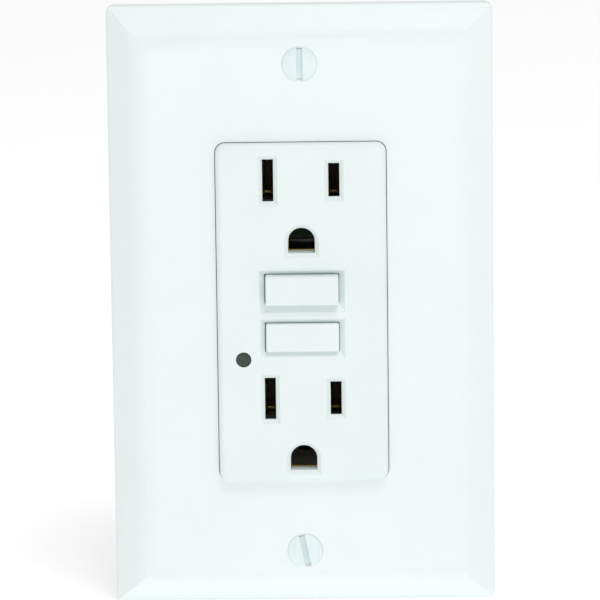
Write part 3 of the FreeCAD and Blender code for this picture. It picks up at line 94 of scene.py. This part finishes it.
class Shader:
    """A small helper that builds a node material step by step."""

    def __init__(self, name):
        self.material = bpy.data.materials.new(name)
        self.material.use_nodes = True
        self.tree = self.material.node_tree
        self.surface = self.tree.nodes["Principled BSDF"]
        self.place = self.add("ShaderNodeTexCoord").outputs["Object"]

    def add(self, kind, **values):
        node = self.tree.nodes.new(kind)
        for key, value in values.items():
            if key in node.inputs:
                node.inputs[key].default_value = value
            else:
                setattr(node, key, value)
        return node

    def link(self, output, target):
        self.tree.links.new(output, target)

    def stretch(self, scale):
        """The object's own coordinates, scaled, for grain that runs one way."""
        mapping = self.add("ShaderNodeMapping")
        mapping.inputs["Scale"].default_value = scale
        self.link(self.place, mapping.inputs["Vector"])
        return mapping.outputs["Vector"]

    def noise(self, scale, detail=3.0, roughness=0.5, vector=None):
        node = self.add("ShaderNodeTexNoise", Scale=scale, Detail=detail, Roughness=roughness)
        self.link(vector or self.place, node.inputs["Vector"])
        return node.outputs["Fac"]

    def span(self, value, low, high, start=0.3, stop=0.7):
        """Map a 0 to 1 value onto low to high."""
        node = self.add("ShaderNodeMapRange")
        for key, number in (("From Min", start), ("From Max", stop), ("To Min", low), ("To Max", high)):
            node.inputs[key].default_value = number
        self.link(value, node.inputs["Value"])
        return node.outputs["Result"]

    def uneven(self, value, roughness, least, most):
        """A roughness that a 0 to 1 value varies between two multiples of it."""
        return self.span(value, roughness * least, roughness * most)

    def blend(self, factor, first, second):
        """Mix two colours by a 0 to 1 value."""
        node = self.add("ShaderNodeMix", data_type="RGBA")
        colours = [socket for socket in node.inputs if socket.type == "RGBA"]
        for socket, colour in zip(colours, (first, second)):
            if hasattr(colour, "is_linked"):
                self.link(colour, socket)
            else:
                socket.default_value = (*colour, 1.0)
        self.link(factor, node.inputs["Factor"])
        return next(socket for socket in node.outputs if socket.type == "RGBA")

    def bump(self, height, strength, distance):
        """Relief from a 0 to 1 height; the distance is the relief's full depth."""
        node = self.add("ShaderNodeBump", Strength=strength, Distance=distance)
        self.link(height, node.inputs["Height"])
        self.link(node.outputs["Normal"], self.surface.inputs["Normal"])

    def set(self, **values):
        """Set or link the surface's inputs; an underscore in a name stands for a space."""
        for key, value in values.items():
            socket = self.surface.inputs[key.replace("_", " ")]
            if hasattr(value, "is_linked"):
                self.link(value, socket)
            elif socket.type == "RGBA":
                socket.default_value = (*value, 1.0)
            else:
                socket.default_value = value


def darker(colour, share):
    return tuple(channel * share for channel in colour)


def plastic(name, colour, roughness, grain, shade=0.94):
    """Moulded plastic: faint flow marks in the colour, fine mould texture and uneven gloss."""
    look = Shader(name)
    flow = look.noise(FLOW_MARKS, 4, 0.55)
    look.set(Base_Color=look.blend(look.span(flow, 0, 1, 0.35, 0.7), colour, darker(colour, shade)))
    look.set(Roughness=look.uneven(look.noise(420), roughness, 0.88, 1.12))
    look.bump(look.noise(MOULD_TEXTURE, 3, 0.6), grain, FINE_RELIEF)
    return look.material


def metal(name, colour, roughness, along="x", grain=0.25, tarnish=None):
    """Rolled or drawn metal: grain lines one way, smudged gloss and darker patches."""
    look = Shader(name)
    scale = tuple(ALONG_GRAIN if axis == along else ACROSS_GRAIN for axis in "xyz")
    lines = look.noise(1.0, 4, 0.6, look.stretch(scale))
    patch = look.noise(METAL_PATCHES, 5, 0.65)
    dull = tarnish or darker(colour, 0.72)
    look.set(Base_Color=look.blend(look.span(patch, 0, 1, 0.42, 0.75), colour, dull), Metallic=1.0)
    look.set(Roughness=look.uneven(patch, roughness, 0.8, 1.3))
    look.bump(lines, grain, DRAWN_RELIEF)
    return look.material


def clear(name, colour, roughness, scale=300, shade=0.7):
    """Tinted clear plastic, mottled by what lies behind it."""
    look = Shader(name)
    mottle = look.span(look.noise(scale), 0, 1)
    look.set(Base_Color=look.blend(mottle, colour, darker(colour, shade)))
    look.set(Roughness=look.uneven(look.noise(900), roughness, 0.8, 1.2))
    look.set(Transmission_Weight=CLEARNESS, IOR=ACRYLIC_IOR)
    look.bump(look.noise(2500), 0.05, FINE_RELIEF)
    return look.material


# slot: (kind, base colour, roughness, then what that kind takes next)
FINISHES = {
    "plate_plastic": (plastic, (0.815, 0.887, 0.878), 0.36, 0.05, 0.985),
    "face_plastic": (plastic, (0.784, 0.863, 0.855), 0.42, 0.10, 0.975),
    "button_plastic": (plastic, (0.781, 0.859, 0.850), 0.40, 0.08, 0.975),
    "painted_screw": (plastic, (0.77, 0.87, 0.87), 0.30, 0.12),
    "lens": (clear, (0.055, 0.095, 0.065), 0.38, 1500, 0.35),
    "housing_plastic": (plastic, (0.62, 0.62, 0.60), 0.52, 0.25),
    # frame_plastic is near black partly as a dark inner housing and partly as painted shade, so the deep
    # slot interiors read dark.
    "frame_plastic": (plastic, (0.11, 0.105, 0.085), 0.60, 0.20),
    "dark_plastic": (plastic, (0.022, 0.022, 0.025), 0.45, 0.20),
    "zinc_steel": (metal, (0.66, 0.68, 0.70), 0.30, "z", 0.15, (0.52, 0.55, 0.56)),
    "steel": (metal, (0.52, 0.52, 0.53), 0.34, "x"),
    "spring_steel": (metal, (0.42, 0.43, 0.45), 0.26, "z"),
    "brass": (metal, (0.80, 0.60, 0.22), 0.36, "z", 0.2, (0.58, 0.38, 0.11)),
    "nickel_brass": (metal, (0.66, 0.65, 0.62), 0.28, "z"),
    "green_screw": (metal, (0.03, 0.30, 0.08), 0.35, "z", 0.15, (0.02, 0.18, 0.05)),
    "silver": (metal, (0.82, 0.81, 0.79), 0.22, "x"),
    "fibre": (plastic, (0.52, 0.40, 0.26), 0.85, 0.5, 0.8),
    "board_laminate": (plastic, (0.02, 0.16, 0.05), 0.35, 0.2, 0.7),
    "copper_wire": (metal, (0.55, 0.20, 0.07), 0.30, "x"),
    "ferrite": (plastic, (0.03, 0.03, 0.033), 0.60, 0.4),
    "varistor_coat": (plastic, (0.02, 0.08, 0.42), 0.35, 0.3),
    "film_case": (plastic, (0.60, 0.40, 0.03), 0.40, 0.2),
    "chip_ceramic": (plastic, (0.42, 0.30, 0.18), 0.50, 0.3),
    "led_epoxy": (clear, (0.35, 0.60, 0.30), 0.15),
}
MATERIALS = {slot: make(slot, *values) for slot, (make, *values) in FINISHES.items()}


# ---- finishing the CAD nodes --------------------------------------------------------------------

SOFT_EDGE = 0.12 * MM
SHARP = math.radians(32)
FLAT = math.radians(0.5)
SPLIT_GAP = 0.001 * MM
EMPTY_GAP = 0.0001 * MM
ROUNDED_IN_CAD = ("film_capacitor",)


def finish_node(name, slot):
    """Give a CAD node its finish, and soften its sharp edges as moulding and stamping do.

    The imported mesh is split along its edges, so it is joined first, and its flat faces made whole.
    """
    item = NODES[name]
    item.data.materials.clear()
    item.data.materials.append(MATERIALS[slot])
    for face in item.data.polygons:
        face.use_smooth = True
    joined = item.modifiers.new("joined_faces", "WELD")
    joined.merge_threshold = SPLIT_GAP
    flat = item.modifiers.new("flat_faces", "DECIMATE")
    flat.decimate_type = "DISSOLVE"
    flat.angle_limit = FLAT
    if name not in ROUNDED_IN_CAD:
        soft = item.modifiers.new("soft_edges", "BEVEL")
        soft.width = SOFT_EDGE
        soft.segments = 2
        soft.limit_method = "ANGLE"
        soft.angle_limit = SHARP
        soft.harden_normals = True
        tidied = item.modifiers.new("no_empty_faces", "WELD")
        tidied.merge_threshold = EMPTY_GAP
    item.modifiers.new("even_shading", "WEIGHTED_NORMAL").keep_sharp = True
    clean = item.modifiers.new("clean_triangles", "TRIANGULATE")
    clean.ngon_method = "BEAUTY"
    clean.keep_custom_normals = True


for part in frame["record"]["subparts"]:
    finish_node(part["node"], part["material_slot"])


# ---- wound wire, in millimetres -----------------------------------------------------------------

COIL_AXIS_Y = 22.0
BACKWARD, UPWARD = Vector((0, 1, 0)), Vector((0, 0, 1))


def wire(path, radius, sides):
    """Vertices and faces of a closed round wire along a path of (point, outward direction) pairs."""
    verts, faces = [], []
    for n, (point, outward) in enumerate(path):
        before, after = path[max(n - 1, 0)][0], path[min(n + 1, len(path) - 1)][0]
        along = (after - before).normalized()
        sideways = along.cross(outward).normalized()
        upward = sideways.cross(along)
        for k in range(sides):
            turn = math.tau * k / sides
            verts.append(point + (upward * math.cos(turn) + sideways * math.sin(turn)) * radius)
    for n in range(len(path) - 1):
        for k in range(sides):
            near, far = n * sides + k, n * sides + (k + 1) % sides
            faces.append((near, far, far + sides, near + sides))
    faces.append(tuple(reversed(range(sides))))
    faces.append(tuple(range(len(verts) - sides, len(verts))))
    return verts, faces


def wound_piece(name, node, path, radius, slot="copper_wire", sides=6, core=((), ())):
    """A wound wire that stands for a CAD node, on top of an optional closed core."""
    verts, faces = wire(path, radius, sides)
    start = len(verts)
    verts += core[0]
    faces += [tuple(start + corner for corner in face) for face in core[1]]
    mesh = bpy.data.meshes.new(name)
    mesh.from_pydata([corner * MM for corner in verts], [], faces)
    for face in mesh.polygons:
        face.use_smooth = True
    mesh.materials.append(MATERIALS[slot])
    item = bpy.data.objects.new(name, mesh)
    bpy.context.scene.collection.objects.link(item)
    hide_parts(node)
    return item


def helix(start, along, reach, turns, length, steps=24):
    """The path of a coil whose axis runs from a start point, with so many steps to a turn."""
    across = Vector((1, 0, 0))
    sideways = along.cross(across)
    path = []
    for n in range(turns * steps + 1):
        turn = math.tau * n / steps
        outward = across * math.cos(turn) + sideways * math.sin(turn)
        path.append((start + along * length * n / (turns * steps) + outward * reach, outward))
    return path


def reset_spring():
    """The reset button's spring as steel wire, built at one length; the real one shortens against its ledge
    as the button goes in.
    """
    height, reach, radius, turns = 4.8, 1.75, 0.2, 6
    front, length, ledge_y = -2.35, 6.70, 4.6
    path = helix(Vector((0, front, height)), BACKWARD, reach, turns, length)
    item = wound_piece("reset_spring_wire", "reset_spring", path, radius, "spring_steel", 10)
    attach(item, "device")
    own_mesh(item)


def plunger_spring():
    """The plunger's return spring as steel wire, built at one length; the real one lengthens from its yoke
    as the plunger moves out.
    """
    reach, radius, turns = 2.05, 0.175, 6
    low, high = -7.85, -1.55
    start = Vector((0, COIL_AXIS_Y, low + radius))
    path = helix(start, UPWARD, reach, turns, high - low - 2 * radius)
    item = wound_piece("plunger_spring_wire", "plunger_spring", path, radius, "spring_steel", 10)
    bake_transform(item)


def tube_core(inner, outer, low, high, steps=32):
    """A closed upright tube round the coil's axis: the deeper layers of the solenoid's wire."""
    corners = ((inner, low), (outer, low), (outer, high), (inner, high))
    verts, faces = [], []
    for n in range(steps):
        turn = math.tau * n / steps
        for radius, height in corners:
            verts.append(Vector((radius * math.cos(turn), COIL_AXIS_Y + radius * math.sin(turn), height)))
    for n in range(steps):
        here, there = n * len(corners), (n + 1) % steps * len(corners)
        for k in range(len(corners)):
            beyond = (k + 1) % len(corners)
            faces.append((here + k, there + k, there + beyond, here + beyond))
    return verts, faces


def solenoid_wire():
    """The trip coil: one visible layer of close turns on the deeper layers."""
    reach, radius, turns = 5.03, 0.16, 47
    low, length = -25.80, 15.60
    path = helix(Vector((0, COIL_AXIS_Y, low)), UPWARD, reach, turns, length, steps=28)
    core = tube_core(2.54, 5.0, low - radius, low + length + radius)
    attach(wound_piece("solenoid_wire", "solenoid_winding", path, radius, core=core), "device")


def ring_wire(name, node, front):
    """The wire of one sensing ring: turns round the core's section, with a gap at the bottom."""
    centre_z, radius, turns = 20.5, 0.25, 50
    near, far = 5.2, 6.9
    low, high = front - 0.3, front + 2.5
    bend = 0.3
    # One turn as distance from the ring's axis, depth, and the outward direction's same two parts.
    loop = [
        (near, low + bend, -1, -0.4), (near, high - bend, -1, 0.4), (near + bend, high, -0.4, 1),
        (far - bend, high, 0.4, 1), (far, high - bend, 1, 0.4), (far, low + bend, 1, -0.4),
        (far - bend, low, 0.4, -1), (near + bend, low, -0.4, -1),
    ]
    start, stop = math.radians(-65), math.radians(245)
    path = []
    for n in range(turns * len(loop) + 1):
        across, depth, out_across, out_depth = loop[n % len(loop)]
        turn = start + (stop - start) * n / (turns * len(loop))
        radial = Vector((math.cos(turn), 0, math.sin(turn)))
        outward = (radial * out_across + Vector((0, out_depth, 0))).normalized()
        path.append((radial * across + Vector((0, depth, centre_z)), outward))
    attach(wound_piece(name, node, path, radius), "device")


reset_spring()
plunger_spring()
solenoid_wire()
ring_wire("sensor_wire", "sensor_winding", 18.6)
ring_wire("neutral_wire", "neutral_winding", 22.6)


# ---- floor, light and camera --------------------------------------------------------------------

FLOOR_REACH = 3.0
FLOOR_GLOW = 0.37
WORLD_STRENGTH = 0.585
SENSOR_MM = 36


def floor():
    """A plain pale floor under the plate's lower edge."""
    low = CAD_BOX[0].z
    corners = [(x * FLOOR_REACH, y * FLOOR_REACH, low) for x, y in ((-1, -1), (1, -1), (1, 1), (-1, 1))]
    mesh = bpy.data.meshes.new("floor")
    mesh.from_pydata(corners, [], [(0, 1, 2, 3)])
    item = bpy.data.objects.new("floor", mesh)
    bpy.context.scene.collection.objects.link(item)
    look = Shader("floor_white")
    look.set(Base_Color=look.blend(look.span(look.noise(6), 0, 1), (0.9, 0.9, 0.9), (0.88, 0.88, 0.88)))
    look.set(Roughness=0.9, Emission_Color=(1.0, 1.0, 1.0), Emission_Strength=FLOOR_GLOW)
    mesh.materials.append(look.material)


def area_light(name, place, size, power):
    """A white rectangular light aimed at the middle of the wall plane; its power is in watts."""
    light = bpy.data.lights.new(name, "AREA")
    light.shape = "RECTANGLE"
    light.size, light.size_y = size
    light.energy = power
    item = bpy.data.objects.new(name, light)
    item.location = place
    item.rotation_euler = (-Vector(place)).to_track_quat("-Z", "Y").to_euler()
    bpy.context.scene.collection.objects.link(item)


def lights():
    """A bright even studio, with a large soft light overhead and a weak one in front."""
    world = bpy.data.worlds.new("studio")
    bpy.context.scene.world = world
    world.use_nodes = True
    sky = world.node_tree.nodes["Background"].inputs
    sky["Color"].default_value = (1.0, 1.0, 1.0, 1.0)
    sky["Strength"].default_value = WORLD_STRENGTH
    area_light("key", (0.22, -0.50, 0.95), (0.50, 0.40), 3.4)
    area_light("fill", (0, -0.75, 0.08), (0.6, 0.24), 0.55)


def camera():
    """A long lens a little above the outlet, rolled slightly, aimed at the middle of the wall plane."""
    azimuth, elevation, roll = (math.radians(angle) for angle in (0.37, 12.41, -0.70))
    distance, focal_mm = 1.049, 322.14
    level = math.cos(elevation)
    back = Vector((math.sin(azimuth) * level, -math.cos(azimuth) * level, math.sin(elevation)))
    right = (-back).cross(Vector((0, 0, 1))).normalized()
    up = right.cross(-back)
    right, up = (right * math.cos(roll) + up * math.sin(roll), up * math.cos(roll) - right * math.sin(roll))
    data = bpy.data.cameras.new("camera")
    data.sensor_width = SENSOR_MM
    data.lens = focal_mm
    data.shift_x, data.shift_y = -0.004, 0.0062
    data.clip_start, data.clip_end = 0.01, 50
    item = bpy.data.objects.new("camera", data)
    turned = Matrix((right, up, back)).transposed().to_4x4()
    item.matrix_world = Matrix.Translation(back * distance) @ turned
    bpy.context.scene.collection.objects.link(item)
    bpy.context.scene.camera = item


floor()
lights()
camera()
bpy.context.scene.view_settings.view_transform = "Standard"
